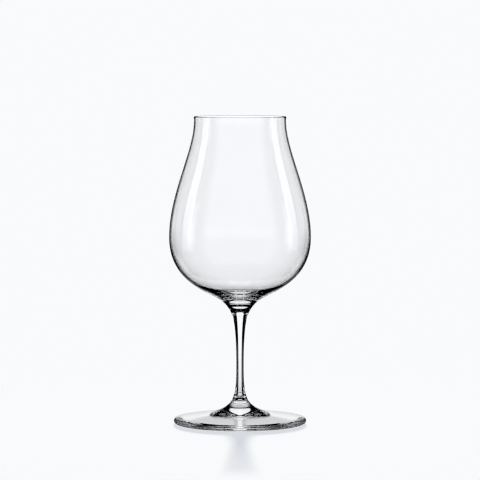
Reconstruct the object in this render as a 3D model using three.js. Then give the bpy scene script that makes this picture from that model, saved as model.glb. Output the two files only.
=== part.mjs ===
// Stemmed tulip wine glass in millimetres, +Z up, standing on z = 0 with its axis on Z.
// Three pieces of clear glass are fused end to end: the foot, the stem and the bowl.
// Each piece is turned from a half outline of radius and height, measured from its own lower end.
import * as THREE from "three";

// Foot: a disc with a rounded edge, a raised boss on top and a hollow underneath that follows the top's slope
const FOOT_RADIUS = 43.2;
const FOOT_EDGE_THICKNESS = 3.3;
const FOOT_EDGE_ROUNDING = 1.5;
const FOOT_RING_WIDTH = 3.5;
const FOOT_HOLLOW_DEPTH = 3.7;
const FOOT_HOLLOW_REACH = 18.0;
const FOOT_HOLLOW_RUN = 24.0;
const BOSS_HEIGHT = 15.8;
const BOSS_TOE_RADIUS = 22.0;
const BOSS_TOE_HEIGHT = 6.3;
const BOSS_NECK_RUN = 4.5;
const BOSS_TOE_RUN = 9.0;

// Lower seam, where the stem is fused to the foot's boss
const LOWER_SEAM_RADIUS = 4.93;
const LOWER_SEAM_LEAN = 22.0;

// Stem: a drawn rod, slimmest a third of the way up and swelling towards both ends
const STEM_LENGTH = 54.7;
const STEM_FOOT_RUN = 4.0;
const STEM_WAIST_RADIUS = 2.43;
const STEM_WAIST_HEIGHT = 20.7;
const STEM_WAIST_FALL = 14.0;
const STEM_WAIST_RISE = 26.0;
const STEM_TOP_RADIUS = 4.73;
const STEM_TOP_LEAN = 7.4;
const STEM_TOP_RUN = 4.7;

// Bowl: a solid shank that flares into the belly, then a shoulder drawn in to a slightly flared rim
const BOWL_HEIGHT = 129.5;
const SHANK_RADIUS = 5.33;
const SHANK_LEAN = 15.6;
const SHANK_RUN = 4.0;
const FLARE_RADIUS = 17.0;
const FLARE_HEIGHT = 12.5;
const FLARE_SLOPE = 25.8;
const FLARE_RUN_IN = 7.8;
const FLARE_RUN_OUT = 14.6;
const BELLY_RADIUS = 46.13;
const BELLY_HEIGHT = 51.25;
const BELLY_FALL = 23.7;
const BELLY_RISE = 29.3;
const RIM_RADIUS = 30.0;
const RIM_LEAN = 4.5;
const RIM_RUN = 19.3;
const RIM_ROUNDING = 0.5;

// Inside of the bowl
const BELLY_WALL = 0.75;
const RIM_WALL = 0.75;
const FLOOR_THICKNESS = 13.1;
const FLOOR_REACH = 23.8;
const CUP_FALL = 25.2;

// Facets round the axis, and along the long and the short curves of an outline
const TURN_FACETS = 60;
const LONG_CURVE_FACETS = 12;
const SHORT_CURVE_FACETS = 6;
const EDGE_FACETS = 4;

// Glass colour and gloss
const GLASS_COLOUR = 0xf1f5f6;
const GLASS_ROUGHNESS = 0.02;
const GLASS_OPACITY = 0.35;

const point = (radius, height) => new THREE.Vector2(radius, height);

// The place that lies a given run from a point, in a direction measured in degrees from straight up.
function along(from, degreesFromUp, run) {
  const angle = THREE.MathUtils.degToRad(degreesFromUp);
  return point(from.x + run * Math.sin(angle), from.y + run * Math.cos(angle));
}

// Points on a smooth curve that leaves its start and reaches its end through their two handles.
function curve(start, startHandle, endHandle, end, facets) {
  return new THREE.CubicBezierCurve(start, startHandle, endHandle, end).getPoints(facets);
}

// Points on a rounded edge from one angle to another, in degrees from straight outwards.
function roundedEdge(centre, reach, rise, startDegrees, endDegrees, facets) {
  const start = THREE.MathUtils.degToRad(startDegrees);
  const end = THREE.MathUtils.degToRad(endDegrees);
  const clockwise = endDegrees < startDegrees;
  return new THREE.EllipseCurve(centre.x, centre.y, reach, rise, start, end, clockwise).getPoints(facets);
}

// Drops a point that repeats the one before it, so that curves can share their ends.
function joined(...runs) {
  const merged = runs.flat();
  const touch = 1e-6;
  return merged.filter((p, i) => i === 0 || p.distanceTo(merged[i - 1]) > touch);
}

function clearGlass() {
  return new THREE.MeshStandardMaterial({
    color: GLASS_COLOUR,
    roughness: GLASS_ROUGHNESS,
    metalness: 0,
    transparent: true,
    opacity: GLASS_OPACITY,
  });
}

// Turns an outline, listed from the foot of the axis up the outside and back to the axis, about Z.
function turned(name, outline) {
  const geometry = new THREE.LatheGeometry(outline, TURN_FACETS);
  geometry.rotateX(Math.PI / 2);
  const mesh = new THREE.Mesh(geometry, clearGlass());
  mesh.name = name;
  return mesh;
}

function makeFoot() {
  const edgeRadius = FOOT_RADIUS - FOOT_EDGE_ROUNDING;
  const edgeMiddle = point(edgeRadius, FOOT_EDGE_THICKNESS / 2);
  const edgeTop = point(edgeRadius, FOOT_EDGE_THICKNESS);
  const toe = point(BOSS_TOE_RADIUS, BOSS_TOE_HEIGHT);
  const topSlope = toe.clone().sub(edgeTop).normalize();
  const hollowRim = point(edgeRadius - FOOT_RING_WIDTH, 0);
  const hollow = curve(
    point(0, FOOT_HOLLOW_DEPTH),
    point(FOOT_HOLLOW_REACH, FOOT_HOLLOW_DEPTH),
    hollowRim.clone().addScaledVector(topSlope, FOOT_HOLLOW_RUN),
    hollowRim,
    SHORT_CURVE_FACETS,
  );
  const edge = roundedEdge(edgeMiddle, FOOT_EDGE_ROUNDING, edgeMiddle.y, -90, 90, 2 * EDGE_FACETS);
  const seam = point(LOWER_SEAM_RADIUS, BOSS_HEIGHT);
  const boss = curve(
    toe,
    toe.clone().addScaledVector(topSlope, BOSS_TOE_RUN),
    along(seam, 180 - LOWER_SEAM_LEAN, BOSS_NECK_RUN),
    seam,
    LONG_CURVE_FACETS,
  );
  return turned("foot", joined(hollow, edge, boss, [point(0, BOSS_HEIGHT)]));
}

function makeStem() {
  const lowerEnd = point(LOWER_SEAM_RADIUS, 0);
  const waist = point(STEM_WAIST_RADIUS, STEM_WAIST_HEIGHT);
  const upperEnd = point(STEM_TOP_RADIUS, STEM_LENGTH);
  const lowerRun = curve(
    lowerEnd,
    along(lowerEnd, -LOWER_SEAM_LEAN, STEM_FOOT_RUN),
    along(waist, 0, -STEM_WAIST_FALL),
    waist,
    SHORT_CURVE_FACETS,
  );
  const upperRun = curve(
    waist,
    along(waist, 0, STEM_WAIST_RISE),
    along(upperEnd, STEM_TOP_LEAN, -STEM_TOP_RUN),
    upperEnd,
    LONG_CURVE_FACETS,
  );
  return turned("stem", joined([point(0, 0)], lowerRun, upperRun, [point(0, STEM_LENGTH)]));
}

function makeBowl() {
  const shankEnd = point(SHANK_RADIUS, 0);
  const flare = point(FLARE_RADIUS, FLARE_HEIGHT);
  const flareFromUp = 90 - FLARE_SLOPE;
  const belly = point(BELLY_RADIUS, BELLY_HEIGHT);
  const lip = point(RIM_RADIUS, BOWL_HEIGHT - RIM_ROUNDING);
  const outside = joined(
    curve(
      shankEnd,
      along(shankEnd, SHANK_LEAN, SHANK_RUN),
      along(flare, flareFromUp, -FLARE_RUN_IN),
      flare,
      SHORT_CURVE_FACETS,
    ),
    curve(
      flare,
      along(flare, flareFromUp, FLARE_RUN_OUT),
      along(belly, 0, -BELLY_FALL),
      belly,
      LONG_CURVE_FACETS,
    ),
    curve(
      belly,
      along(belly, 0, BELLY_RISE),
      along(lip, RIM_LEAN, -RIM_RUN),
      lip,
      LONG_CURVE_FACETS,
    ),
  );
  const lipMiddle = point(RIM_RADIUS - RIM_WALL / 2, lip.y);
  const rim = roundedEdge(lipMiddle, RIM_WALL / 2, RIM_ROUNDING, 0, 180, EDGE_FACETS);
  const innerLip = point(RIM_RADIUS - RIM_WALL, lip.y);
  const innerBelly = point(BELLY_RADIUS - BELLY_WALL, BELLY_HEIGHT);
  const floor = point(0, FLOOR_THICKNESS);
  const inside = joined(
    curve(
      innerLip,
      along(innerLip, RIM_LEAN, -RIM_RUN),
      along(innerBelly, 0, BELLY_RISE),
      innerBelly,
      LONG_CURVE_FACETS,
    ),
    curve(
      innerBelly,
      along(innerBelly, 0, -CUP_FALL),
      along(floor, 90, FLOOR_REACH),
      floor,
      LONG_CURVE_FACETS,
    ),
  );
  return turned("bowl", joined([point(0, 0)], outside, rim, inside));
}

const foot = makeFoot();
const stem = makeStem();
const bowl = makeBowl();
stem.position.z = BOSS_HEIGHT;
bowl.position.z = BOSS_HEIGHT + STEM_LENGTH;

const wineGlass = new THREE.Group();
wineGlass.add(foot, stem, bowl);

export default wineGlass;
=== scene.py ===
"""Tulip wine glass: a blown bowl, a drawn stem and a spun foot of clear glass, fused end to end.

Outlines are written in millimetres of radius and height, with leans and slopes in degrees, and are turned
about Z. The glass stands on a pale floor between soft white cards, as stemware is lit for a catalogue: pale
behind it, and dark beyond the cards' edges.
"""

import math

import bmesh
import bpy
from mathutils import Matrix, Vector
from mathutils.geometry import interpolate_bezier


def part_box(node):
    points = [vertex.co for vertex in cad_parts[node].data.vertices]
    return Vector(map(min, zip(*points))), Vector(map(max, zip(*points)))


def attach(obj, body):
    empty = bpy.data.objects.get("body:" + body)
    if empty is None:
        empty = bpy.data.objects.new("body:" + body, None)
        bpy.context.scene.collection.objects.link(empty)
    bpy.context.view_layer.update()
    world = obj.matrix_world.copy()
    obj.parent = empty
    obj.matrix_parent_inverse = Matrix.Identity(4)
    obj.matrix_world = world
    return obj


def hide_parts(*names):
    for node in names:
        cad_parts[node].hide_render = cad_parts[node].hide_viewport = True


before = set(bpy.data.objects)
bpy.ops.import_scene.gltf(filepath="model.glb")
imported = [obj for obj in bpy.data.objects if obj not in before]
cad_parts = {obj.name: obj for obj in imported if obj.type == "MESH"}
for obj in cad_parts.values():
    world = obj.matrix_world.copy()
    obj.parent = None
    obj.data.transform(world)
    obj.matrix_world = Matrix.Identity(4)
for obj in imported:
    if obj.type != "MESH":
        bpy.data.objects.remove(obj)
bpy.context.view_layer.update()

MM = 0.001

# Sizes that the frame gives, in millimetres
FOOT_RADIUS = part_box("foot")[1].x / MM
LOWER_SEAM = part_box("foot")[1].z / MM
UPPER_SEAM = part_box("stem")[1].z / MM
BELLY_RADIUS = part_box("bowl")[1].x / MM
RIM_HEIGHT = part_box("bowl")[1].z / MM

# Foot
FOOT_EDGE_THICKNESS = 3.3
FOOT_EDGE_ROUNDING = 1.5
FOOT_RING_WIDTH = 3.5
FOOT_HOLLOW_DEPTH = 3.7
FOOT_HOLLOW_REACH = 18.0
FOOT_HOLLOW_RUN = 24.0
BOSS_TOE_RADIUS = 22.0
BOSS_TOE_HEIGHT = 6.3
BOSS_NECK_RUN = 4.5
BOSS_TOE_RUN = 9.0
LOWER_SEAM_RADIUS = 4.93
LOWER_SEAM_LEAN = 22.0

# Stem
STEM_FOOT_RUN = 4.0
STEM_WAIST_RADIUS = 2.43
STEM_WAIST_RISE_FROM_SEAM = 20.7
STEM_WAIST_FALL = 14.0
STEM_WAIST_RISE = 26.0
STEM_TOP_RADIUS = 4.73
STEM_TOP_LEAN = 7.4
STEM_TOP_RUN = 4.7

# Bowl, outside
SHANK_RADIUS = 5.33
SHANK_LEAN = 15.6
SHANK_RUN = 4.0
SHANK_ROUNDING = 0.3
FLARE_RADIUS = 17.0
FLARE_HEIGHT = UPPER_SEAM + 12.5
FLARE_SLOPE = 25.8
FLARE_RUN_IN = 7.8
FLARE_RUN_OUT = 14.6
BELLY_HEIGHT = UPPER_SEAM + 51.25
BELLY_FALL = 23.7
BELLY_RISE = 29.3
RIM_RADIUS = 30.0
RIM_LEAN = 4.5
RIM_RUN = 19.3
RIM_ROUNDING = 0.5

# Bowl, inside
BELLY_WALL = 0.75
RIM_WALL = 0.75
CUP_FLOOR = UPPER_SEAM + 13.1
CUP_FLOOR_REACH = 23.8
CUP_FALL = 25.2

# How finely the outlines are drawn and turned
TURN_STEPS = 240
LONG_STEPS = 48
SHORT_STEPS = 24
EDGE_STEPS = 10

# Distances within which points are one or lie on a seam, in millimetres, and the least crease, in degrees
MERGE_DISTANCE = 0.001
SEAM_TOUCH = 0.01
CREASE_ANGLE = 40


def place(radius, height):
    """A point of a half outline, from millimetres."""
    return Vector((radius * MM, 0.0, height * MM))


def along(start, degrees_from_up, run):
    """The point that lies a run in millimetres from another, in a direction measured from straight up."""
    angle = math.radians(degrees_from_up)
    return start + Vector((math.sin(angle), 0.0, math.cos(angle))) * run * MM


def sweep(start, start_handle, end_handle, end, steps):
    """Points on a smooth curve that leaves its start and reaches its end through their handles."""
    return interpolate_bezier(start, start_handle, end_handle, end, steps + 1)


def rounded(centre, reach, rise, first_degrees, last_degrees):
    """Points round an edge, in degrees from straight outwards."""
    points = []
    for step in range(EDGE_STEPS + 1):
        angle = math.radians(first_degrees + (last_degrees - first_degrees) * step / EDGE_STEPS)
        points.append(centre + place(reach * math.cos(angle), rise * math.sin(angle)))
    return points


def foot_outline():
    """From the middle of the hollow underneath, round the edge, over the boss and in to the lower seam."""
    edge_radius = FOOT_RADIUS - FOOT_EDGE_ROUNDING
    edge_rise = FOOT_EDGE_THICKNESS / 2
    toe = place(BOSS_TOE_RADIUS, BOSS_TOE_HEIGHT)
    top_slope = (toe - place(edge_radius, FOOT_EDGE_THICKNESS)).normalized()
    ring = place(edge_radius - FOOT_RING_WIDTH, 0)
    hollow = sweep(
        place(0, FOOT_HOLLOW_DEPTH),
        place(FOOT_HOLLOW_REACH, FOOT_HOLLOW_DEPTH),
        ring + top_slope * FOOT_HOLLOW_RUN * MM,
        ring,
        SHORT_STEPS,
    )
    edge = rounded(place(edge_radius, edge_rise), FOOT_EDGE_ROUNDING, edge_rise, -90, 90)
    seam = place(LOWER_SEAM_RADIUS, LOWER_SEAM)
    boss = sweep(
        toe,
        toe + top_slope * BOSS_TOE_RUN * MM,
        along(seam, 180 - LOWER_SEAM_LEAN, BOSS_NECK_RUN),
        seam,
        LONG_STEPS,
    )
    return hollow + edge + boss + [place(0, LOWER_SEAM)]


def stem_outline():
    """From the lower seam up the rod to the upper seam."""
    lower_end = place(LOWER_SEAM_RADIUS, LOWER_SEAM)
    waist = place(STEM_WAIST_RADIUS, LOWER_SEAM + STEM_WAIST_RISE_FROM_SEAM)
    upper_end = place(STEM_TOP_RADIUS, UPPER_SEAM)
    lower_run = sweep(
        lower_end,
        along(lower_end, -LOWER_SEAM_LEAN, STEM_FOOT_RUN),
        along(waist, 0, -STEM_WAIST_FALL),
        waist,
        SHORT_STEPS,
    )
    upper_run = sweep(
        waist,
        along(waist, 0, STEM_WAIST_RISE),
        along(upper_end, STEM_TOP_LEAN, -STEM_TOP_RUN),
        upper_end,
        LONG_STEPS,
    )
    return [place(0, LOWER_SEAM)] + lower_run + upper_run + [place(0, UPPER_SEAM)]


def bowl_outline():
    """From the upper seam up the outside, over the rim and down the inside to the cup's floor."""
    seam_edge = place(STEM_TOP_RADIUS, UPPER_SEAM)
    shank_corner = place(SHANK_RADIUS - SHANK_ROUNDING, UPPER_SEAM + SHANK_ROUNDING)
    shank_edge = rounded(shank_corner, SHANK_ROUNDING, SHANK_ROUNDING, -90, -SHANK_LEAN)
    flare = place(FLARE_RADIUS, FLARE_HEIGHT)
    flare_from_up = 90 - FLARE_SLOPE
    belly = place(BELLY_RADIUS, BELLY_HEIGHT)
    lip = place(RIM_RADIUS, RIM_HEIGHT - RIM_ROUNDING)
    shank = sweep(
        shank_edge[-1],
        along(shank_edge[-1], SHANK_LEAN, SHANK_RUN),
        along(flare, flare_from_up, -FLARE_RUN_IN),
        flare,
        SHORT_STEPS,
    )
    underside = sweep(
        flare,
        along(flare, flare_from_up, FLARE_RUN_OUT),
        along(belly, 0, -BELLY_FALL),
        belly,
        LONG_STEPS,
    )
    shoulder = sweep(
        belly,
        along(belly, 0, BELLY_RISE),
        along(lip, RIM_LEAN, -RIM_RUN),
        lip,
        LONG_STEPS,
    )
    rim_middle = place(RIM_RADIUS - RIM_WALL / 2, RIM_HEIGHT - RIM_ROUNDING)
    rim = rounded(rim_middle, RIM_WALL / 2, RIM_ROUNDING, 0, 180)
    inner_lip = place(RIM_RADIUS - RIM_WALL, RIM_HEIGHT - RIM_ROUNDING)
    inner_belly = place(BELLY_RADIUS - BELLY_WALL, BELLY_HEIGHT)
    inner_shoulder = sweep(
        inner_lip,
        along(inner_lip, RIM_LEAN, -RIM_RUN),
        along(inner_belly, 0, BELLY_RISE),
        inner_belly,
        LONG_STEPS,
    )
    cup_floor = place(0, CUP_FLOOR)
    cup = sweep(
        inner_belly,
        along(inner_belly, 0, -CUP_FALL),
        along(cup_floor, 90, CUP_FLOOR_REACH),
        cup_floor,
        LONG_STEPS,
    )
    base = [place(0, UPPER_SEAM), seam_edge] + shank_edge
    return base + shank + underside + shoulder + rim + inner_shoulder + cup


def put(name, data):
    """Puts a mesh, a camera or a lamp in the scene, at the origin."""
    thing = bpy.data.objects.new(name, data)
    bpy.context.collection.objects.link(thing)
    return thing


def put_shape(name, shape, materials):
    """Makes a finished shape an object in the scene, with its materials."""
    mesh = bpy.data.meshes.new(name)
    shape.to_mesh(mesh)
    shape.free()
    for material in materials:
        mesh.materials.append(material)
    return put(name, mesh)


def turned(name, outline, glass, seam):
    """Turns an outline about Z into a closed piece, with its fused ends in the seam's own material."""
    materials = [glass, seam]
    shape = bmesh.new()
    points = [shape.verts.new(point) for point in outline]
    edges = [shape.edges.new(pair) for pair in zip(points, points[1:])]
    bmesh.ops.spin(
        shape,
        geom=points + edges,
        cent=(0, 0, 0),
        axis=(0, 0, 1),
        angle=math.tau,
        space=Matrix.Identity(4),
        steps=TURN_STEPS,
        use_merge=True,
    )
    bmesh.ops.remove_doubles(shape, verts=shape.verts, dist=MERGE_DISTANCE * MM)
    bmesh.ops.recalc_face_normals(shape, faces=shape.faces)
    for vert in shape.verts:
        at_seam = min(abs(vert.co.z / MM - LOWER_SEAM), abs(vert.co.z / MM - UPPER_SEAM)) < SEAM_TOUCH
        if at_seam and vert.co.xy.length / MM < SEAM_TOUCH:
            for face in vert.link_faces:
                face.material_index = materials.index(seam)
    piece = put_shape(name, shape, materials)
    piece.data.shade_smooth()
    piece.data.set_sharp_from_angle(angle=math.radians(CREASE_ANGLE))
    return piece


def colour(hex_value):
    """An sRGB hex colour as linear red, green, blue and full alpha, by the curve of the sRGB standard."""
    channels = []
    for shift in (16, 8, 0):
        share = (hex_value >> shift & 0xFF) / 255
        channels.append(share / 12.92 if share <= 0.04045 else ((share + 0.055) / 1.055) ** 2.4)
    return (*channels, 1.0)


def per_metre(size_in_mm):
    """A pattern's scale that gives one feature in each size."""
    return 1 / (size_in_mm * MM)


def add_node(tree, kind, settings=None, links=None):
    """Adds a node. Settings name its sockets or properties, and links name the sockets that others feed."""
    node = tree.nodes.new(kind)
    for name, value in (settings or {}).items():
        if isinstance(name, int) or name in node.inputs:
            node.inputs[name].default_value = value
        else:
            setattr(node, name, value)
    for name, source in (links or {}).items():
        tree.links.new(source, node.inputs[name])
    return node


def new_material(name):
    """An empty material and its node tree."""
    material = bpy.data.materials.new(name)
    material.use_nodes = True
    material.node_tree.nodes.clear()
    return material, material.node_tree


# A mix node's sockets for colours, which have the same names as its sockets for numbers
MIX_FIRST = 6
MIX_SECOND = 7
MIXED = 2

# Clear soda-lime glass, with a trace of tint and haze
GLASS_IOR = 1.52
GLASS_TINTS = (0xFDFDFE, 0xFFFFFF)
GLASS_HAZE = 0.02

# What the making leaves in each piece: the size of its marks across, and their depth, in millimetres
BLOWING_WAVE = 18.0
BLOWING_DEPTH = 0.004
SPIN_RING = 3.0
SPIN_DEPTH = 0.001

# Lines along the stem: real ones are finer, and these are as coarse as they need to be to show
DRAW_LINE = 0.8
DRAW_LINE_LENGTH = 60.0
DRAW_DEPTH = 0.0003


def clear_glass(tree, marks, depth):
    """Clear soda-lime glass over the marks of its making: a trace of tint and haze, and their relief."""
    tint = add_node(
        tree,
        "ShaderNodeMix",
        {"data_type": "RGBA", MIX_FIRST: colour(GLASS_TINTS[0]), MIX_SECOND: colour(GLASS_TINTS[1])},
        {0: marks},
    )
    haze = add_node(tree, "ShaderNodeMapRange", {"To Min": 0.0, "To Max": GLASS_HAZE}, {"Value": marks})
    relief = add_node(tree, "ShaderNodeBump", {"Strength": 1.0, "Distance": depth * MM}, {"Height": marks})
    glass = add_node(
        tree,
        "ShaderNodeBsdfPrincipled",
        {"IOR": GLASS_IOR, "Transmission Weight": 1.0},
        {
            "Base Color": tint.outputs[MIXED],
            "Roughness": haze.outputs[0],
            "Normal": relief.outputs["Normal"],
        },
    )
    add_node(tree, "ShaderNodeOutputMaterial", {}, {"Surface": glass.outputs["BSDF"]})


def blown_bowl_glass():
    """Blown glass, fire-polished: to the eye it is smooth, and slow waves bend what shows through it."""
    material, tree = new_material("blown_bowl_glass")
    where = add_node(tree, "ShaderNodeTexCoord")
    waves = add_node(
        tree,
        "ShaderNodeTexNoise",
        {"Scale": per_metre(BLOWING_WAVE), "Detail": 1.0},
        {"Vector": where.outputs["Object"]},
    )
    clear_glass(tree, waves.outputs["Fac"], BLOWING_DEPTH)
    return material


def drawn_stem_glass():
    """Glass drawn out hot into a rod: to the eye its edges are crisp, with faint lines along its length."""
    material, tree = new_material("drawn_stem_glass")
    where = add_node(tree, "ShaderNodeTexCoord")
    stretched = add_node(
        tree,
        "ShaderNodeMapping",
        {"Scale": (per_metre(DRAW_LINE), per_metre(DRAW_LINE), per_metre(DRAW_LINE_LENGTH))},
        {"Vector": where.outputs["Object"]},
    )
    lines = add_node(
        tree, "ShaderNodeTexNoise", {"Scale": 1.0, "Detail": 1.0}, {"Vector": stretched.outputs["Vector"]}
    )
    clear_glass(tree, lines.outputs["Fac"], DRAW_DEPTH)
    return material


def spun_foot_glass():
    """Glass spun flat on the turning stem: to the eye it is clear, with faint rings round the middle."""
    material, tree = new_material("spun_foot_glass")
    where = add_node(tree, "ShaderNodeTexCoord")
    flat = add_node(
        tree, "ShaderNodeVectorMath", {"operation": "MULTIPLY", 1: (1, 1, 0)}, {0: where.outputs["Object"]}
    )
    radius = add_node(tree, "ShaderNodeVectorMath", {"operation": "LENGTH"}, {0: flat.outputs[0]})
    rings = add_node(
        tree,
        "ShaderNodeTexNoise",
        {"noise_dimensions": "1D", "Scale": per_metre(SPIN_RING), "Detail": 1.0},
        {"W": radius.outputs["Value"]},
    )
    clear_glass(tree, rings.outputs["Fac"], SPIN_DEPTH)
    return material


def fused_seam():
    """Where two pieces were fused hot there is no surface left, so light passes straight on."""
    material, tree = new_material("fused_seam")
    through = add_node(tree, "ShaderNodeBsdfTransparent", {"Color": (1, 1, 1, 1)})
    add_node(tree, "ShaderNodeOutputMaterial", {}, {"Surface": through.outputs["BSDF"]})
    return material


# Photograph's view, in millimetres and degrees
CAMERA_DISTANCE = 1838.4
CAMERA_ELEVATION = 3.956
CAMERA_AIM_HEIGHT = 119.68
CAMERA_LENS = 211.9
CAMERA_SENSOR = 36.0


def add_camera():
    """A long lens in front of the glass, a little above it."""
    data = bpy.data.cameras.new("camera")
    data.sensor_width = CAMERA_SENSOR
    data.lens = CAMERA_LENS
    camera = put("camera", data)
    elevation = math.radians(CAMERA_ELEVATION)
    back = Vector((0, -math.cos(elevation), math.sin(elevation))) * CAMERA_DISTANCE * MM
    camera.location = Vector((0, 0, CAMERA_AIM_HEIGHT * MM)) + back
    camera.rotation_euler = (math.pi / 2 - elevation, 0, 0)
    bpy.context.scene.camera = camera


# Studio: colours, places in millimetres, and the lamp's angles in degrees
PALE = 0xF9FAFC
SHADOW = 0xA9B0BB
FLOOR_GAP = 0.2
FLOOR_RADIUS = 6000
FLOOR_SEGMENTS = 128
# Painted change to the cast shadow by distance from the axis: painted lighter near the foot, to the near
# share, and painted away into pale over the fall
SHADOW_RISE = (60, 175)
SHADOW_NEAR_SHARE = 0.48
SHADOW_FALL = (195, 242)
LAMP_ELEVATION = 11.0
LAMP_SPREAD = 6.0

# How often light may pass through glass, be mirrored and pass a fused seam
GLASS_BOUNCES = 32
MIRROR_BOUNCES = 16
SEAM_BOUNCES = 16

# Width of the pixel filter, a little under the usual 1.5 pixels, for the crisp outlines of clear glass
PIXEL_FILTER = 1.25


def stage_shape(name, shape, material):
    """Puts a shape of the studio in the scene."""
    thing = put_shape(name, shape, [material])
    return thing


def pale_floor_with_painted_shadow_fade():
    """A pale matt floor that also glows in the shadow's colour. The lamp's cast shadow on it is painted
    lighter near the foot, and painted away into an even pale glow farther out.
    """
    material, tree = new_material("pale_matt_floor")
    where = add_node(tree, "ShaderNodeTexCoord")
    distance = add_node(tree, "ShaderNodeVectorMath", {"operation": "LENGTH"}, {0: where.outputs["Object"]})
    painted_shadow_ramps = []
    # Painted ramps that lighten the cast shadow near the foot and paint it away farther out
    for (near, far), start, end in ((SHADOW_RISE, SHADOW_NEAR_SHARE, 1.0), (SHADOW_FALL, 1.0, 0.0)):
        share = add_node(
            tree,
            "ShaderNodeMapRange",
            {
                "interpolation_type": "SMOOTHSTEP",
                "From Min": near * MM,
                "From Max": far * MM,
                "To Min": start,
                "To Max": end,
            },
            {"Value": distance.outputs["Value"]},
        )
        painted_shadow_ramps.append(share)
    painted_shadow_depth = add_node(
        tree, "ShaderNodeMath", {"operation": "MULTIPLY"}, {0: painted_shadow_ramps[0].outputs[0], 1: painted_shadow_ramps[1].outputs[0]}
    )
    matt = add_node(tree, "ShaderNodeBsdfDiffuse", {"Color": colour(PALE)})
    shade = add_node(tree, "ShaderNodeEmission", {"Color": colour(SHADOW), "Strength": 1.0})
    lit = add_node(tree, "ShaderNodeAddShader", {}, {0: matt.outputs[0], 1: shade.outputs[0]})
    pale = add_node(tree, "ShaderNodeEmission", {"Color": colour(PALE), "Strength": 1.0})
    # Pale glow painted over the lit floor where the ramps say, so the shadow's depth is partly painted
    floor = add_node(
        tree, "ShaderNodeMixShader", {}, {0: painted_shadow_depth.outputs[0], 1: pale.outputs[0], 2: lit.outputs[0]}
    )
    add_node(tree, "ShaderNodeOutputMaterial", {}, {"Surface": floor.outputs[0]})
    return material


def add_floor():
    """The floor that the camera sees, just under the foot. The glass shows the cards instead of it."""
    shape = bmesh.new()
    bmesh.ops.create_circle(shape, cap_ends=True, segments=FLOOR_SEGMENTS, radius=FLOOR_RADIUS * MM)
    bmesh.ops.translate(shape, verts=shape.verts, vec=(0, 0, -FLOOR_GAP * MM))
    floor = stage_shape("studio_floor", shape, pale_floor_with_painted_shadow_fade())
    floor.visible_glossy = False
    floor.visible_transmission = False


def card_finish(card):
    """A glowing card, standing in for a lit one, with soft sides and ends. Its width and its glow's strength
    may change with height.
    """
    material, tree = new_material(card["name"])
    low, high = card["reach"]
    where = add_node(tree, "ShaderNodeUVMap")
    parts = add_node(tree, "ShaderNodeSeparateXYZ", {}, {"Vector": where.outputs["UV"]})
    ramps = []
    for (lower, start), (upper, end) in (card["edges"], card["levels"]):
        ramp = add_node(
            tree,
            "ShaderNodeMapRange",
            {"From Min": lower, "From Max": upper, "To Min": start, "To Max": end},
            {"Value": parts.outputs["Y"]},
        )
        ramps.append(ramp)
    edge, strength = ramps
    side = add_node(tree, "ShaderNodeMath", {"operation": "ABSOLUTE"}, {0: parts.outputs["X"]})
    within = add_node(
        tree, "ShaderNodeMath", {"operation": "SUBTRACT"}, {0: edge.outputs[0], 1: side.outputs[0]}
    )
    above = add_node(tree, "ShaderNodeMath", {"operation": "SUBTRACT", 1: low}, {0: parts.outputs["Y"]})
    below = add_node(tree, "ShaderNodeMath", {"operation": "SUBTRACT", 0: high}, {1: parts.outputs["Y"]})
    for inside in (above, below):
        within = add_node(
            tree, "ShaderNodeMath", {"operation": "MINIMUM"}, {0: within.outputs[0], 1: inside.outputs[0]}
        )
    lit = add_node(
        tree,
        "ShaderNodeMapRange",
        {"interpolation_type": "SMOOTHSTEP", "From Min": -card["soft"], "From Max": card["soft"]},
        {"Value": within.outputs[0]},
    )
    level = add_node(
        tree, "ShaderNodeMath", {"operation": "MULTIPLY"}, {0: lit.outputs[0], 1: strength.outputs[0]}
    )
    glow = add_node(tree, "ShaderNodeEmission", {"Color": colour(PALE)}, {"Strength": level.outputs[0]})
    add_node(tree, "ShaderNodeOutputMaterial", {}, {"Surface": glow.outputs[0]})
    material.cycles.emission_sampling = "NONE"
    return material


def even(value):
    """One half width or strength for the whole height of a card."""
    return ((0, value), (1, value))


# Cards that show through the glass, in millimetres: edges give half widths at two heights, levels strengths
CARDS_SEEN_THROUGH = (
    {
        "name": "back_card",
        "azimuths": (0,),
        "distance": 250,
        "reach": (-160, 420),
        "edges": ((-60, 66), (60, 80)),
        "soft": 10,
        "levels": ((-60, 0.75), (40, 1.1)),
    },
    {
        "name": "side_card",
        "azimuths": (-90, 90),
        "distance": 1500,
        "reach": (-460, 340),
        "edges": even(180),
        "soft": 60,
        "levels": ((-400, 0.9), (-100, 1.12)),
    },
    {
        "name": "far_floor_card",
        "azimuths": (-45, 45),
        "distance": 4000,
        "reach": (-2550, -1260),
        "edges": even(390),
        "soft": 80,
        "levels": even(1.12),
    },
    {
        "name": "under_card",
        "azimuths": (0,),
        "drop": 600,
        "reach": (30, 175),
        "edges": even(120),
        "soft": 25,
        "levels": even(1.0),
    },
)

# Cards that only the glass's surface mirrors, written in the same way
CARDS_MIRRORED = (
    {
        "name": "back_gleam",
        "azimuths": (0,),
        "distance": 250,
        "reach": (-60, 80),
        "edges": even(76),
        "soft": 18,
        "levels": even(0.75),
    },
    {
        "name": "side_gleam",
        "azimuths": (-85, 85),
        "distance": 600,
        "reach": (-30, 450),
        "edges": even(110),
        "soft": 20,
        "levels": ((60, 1.1), (330, 3.1)),
    },
    {
        "name": "flank_gleam",
        "azimuths": (-55, 55),
        "distance": 400,
        "reach": (110, 450),
        "edges": even(110),
        "soft": 50,
        "levels": even(1.4),
    },
)


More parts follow.
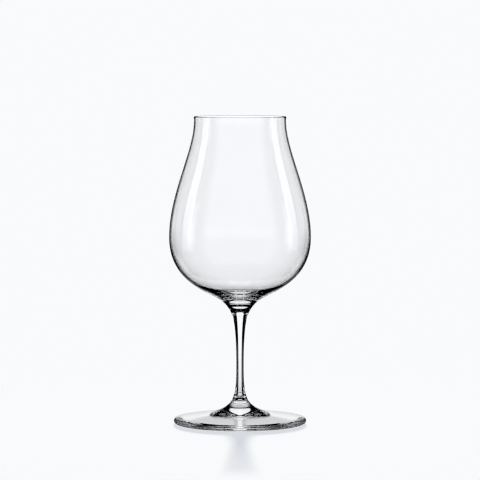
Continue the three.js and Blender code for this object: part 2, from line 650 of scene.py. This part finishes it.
def add_card(card, azimuth):
    """A card that only the glass shows.

    It stands at a distance and faces the glass, or lies at a drop below, where its heights run along +Y.
    """
    shape = bmesh.new()
    bmesh.ops.create_grid(shape, x_segments=1, y_segments=1, size=1)
    low, high = card["reach"]
    half_width = max(half for height, half in card["edges"]) + card["soft"]
    half_length = (high - low) / 2 + card["soft"]
    bmesh.ops.scale(shape, verts=shape.verts, vec=(half_width, half_length, 1))
    bmesh.ops.translate(shape, verts=shape.verts, vec=(0, (low + high) / 2, 0))
    uv = shape.loops.layers.uv.new("millimetres")
    for face in shape.faces:
        for loop in face.loops:
            loop[uv].uv = loop.vert.co.xy
    if "drop" in card:
        stand = Matrix.Translation((0, 0, -card["drop"] * MM))
    else:
        upright = Matrix.Rotation(math.pi / 2, 4, "X")
        stand = Matrix.Translation((0, card["distance"] * MM, 0)) @ upright
    turn = Matrix.Rotation(math.radians(azimuth), 4, "Z")
    bmesh.ops.transform(shape, verts=shape.verts, matrix=turn @ stand @ Matrix.Scale(MM, 4))
    thing = stage_shape(card["name"], shape, card_finish(card))
    thing.visible_camera = False
    thing.visible_diffuse = False
    thing.visible_shadow = False
    return thing


# Angles at which the pale room in front begins and is full, in degrees: round from +Y, and above level
FRONT_ROOM_SIDES = (108, 130)
FRONT_ROOM_TOP = (10, -4)
FRONT_ROOM_FOOT = (-56, -42)


def add_world():
    """Pale for the camera. Through the glass the room in front is pale too, and the rest is dark."""
    world = bpy.data.worlds.new("studio_world")
    bpy.context.scene.world = world
    world.use_nodes = True
    tree = world.node_tree
    tree.nodes.clear()
    ray = add_node(tree, "ShaderNodeLightPath")
    where = add_node(tree, "ShaderNodeTexCoord")
    height = add_node(tree, "ShaderNodeSeparateXYZ", {}, {"Vector": where.outputs["Generated"]})
    flat = add_node(
        tree,
        "ShaderNodeVectorMath",
        {"operation": "MULTIPLY", 1: (1, 1, 0)},
        {0: where.outputs["Generated"]},
    )
    heading = add_node(tree, "ShaderNodeVectorMath", {"operation": "NORMALIZE"}, {0: flat.outputs[0]})
    compass = add_node(tree, "ShaderNodeSeparateXYZ", {}, {"Vector": heading.outputs[0]})
    level = ray.outputs["Is Transmission Ray"]
    for angles, component, source in (
        (FRONT_ROOM_SIDES, math.cos, compass.outputs["Y"]),
        (FRONT_ROOM_TOP, math.sin, height.outputs["Z"]),
        (FRONT_ROOM_FOOT, math.sin, height.outputs["Z"]),
    ):
        start, full = (component(math.radians(angle)) for angle in angles)
        limit = add_node(
            tree,
            "ShaderNodeMapRange",
            {"interpolation_type": "SMOOTHSTEP", "From Min": start, "From Max": full},
            {"Value": source},
        )
        limited = add_node(
            tree, "ShaderNodeMath", {"operation": "MULTIPLY"}, {0: level, 1: limit.outputs[0]}
        )
        level = limited.outputs[0]
    seen = add_node(
        tree, "ShaderNodeMath", {"operation": "MAXIMUM"}, {0: ray.outputs["Is Camera Ray"], 1: level}
    )
    pale = add_node(tree, "ShaderNodeBackground", {"Color": colour(PALE)}, {"Strength": seen.outputs[0]})
    add_node(tree, "ShaderNodeOutputWorld", {}, {"Surface": pale.outputs[0]})


def add_lamp():
    """A soft lamp low behind the glass, which lays the stem's shadow towards the camera."""
    data = bpy.data.lights.new("back_lamp", "SUN")
    data.angle = math.radians(LAMP_SPREAD)
    elevation = math.radians(LAMP_ELEVATION)
    # Brings the level floor from the shadow's colour up to the pale one
    data.energy = math.pi / math.sin(elevation)
    data.color = [(lit - shaded) / lit for lit, shaded in zip(colour(PALE)[:3], colour(SHADOW)[:3])]
    lamp = put("back_lamp", data)
    lamp.rotation_euler = (elevation - math.pi / 2, 0, 0)
    lamp.visible_glossy = False
    lamp.visible_transmission = False


seam = fused_seam()
for node, outline, glass in (
    ("bowl", bowl_outline(), blown_bowl_glass()),
    ("stem", stem_outline(), drawn_stem_glass()),
    ("foot", foot_outline(), spun_foot_glass()),
):
    piece = turned("glass_" + node, outline, glass, seam)
    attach(piece, "root")
    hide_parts(node)

add_camera()
add_floor()
for card in CARDS_SEEN_THROUGH:
    for azimuth in card["azimuths"]:
        add_card(card, azimuth).visible_glossy = False
for card in CARDS_MIRRORED:
    for azimuth in card["azimuths"]:
        add_card(card, azimuth).visible_transmission = False
add_world()
add_lamp()

scene = bpy.context.scene
scene.view_settings.view_transform = "Standard"
scene.cycles.filter_width = PIXEL_FILTER
scene.cycles.max_bounces = GLASS_BOUNCES
scene.cycles.transmission_bounces = GLASS_BOUNCES
scene.cycles.glossy_bounces = MIRROR_BOUNCES
scene.cycles.transparent_max_bounces = SEAM_BOUNCES
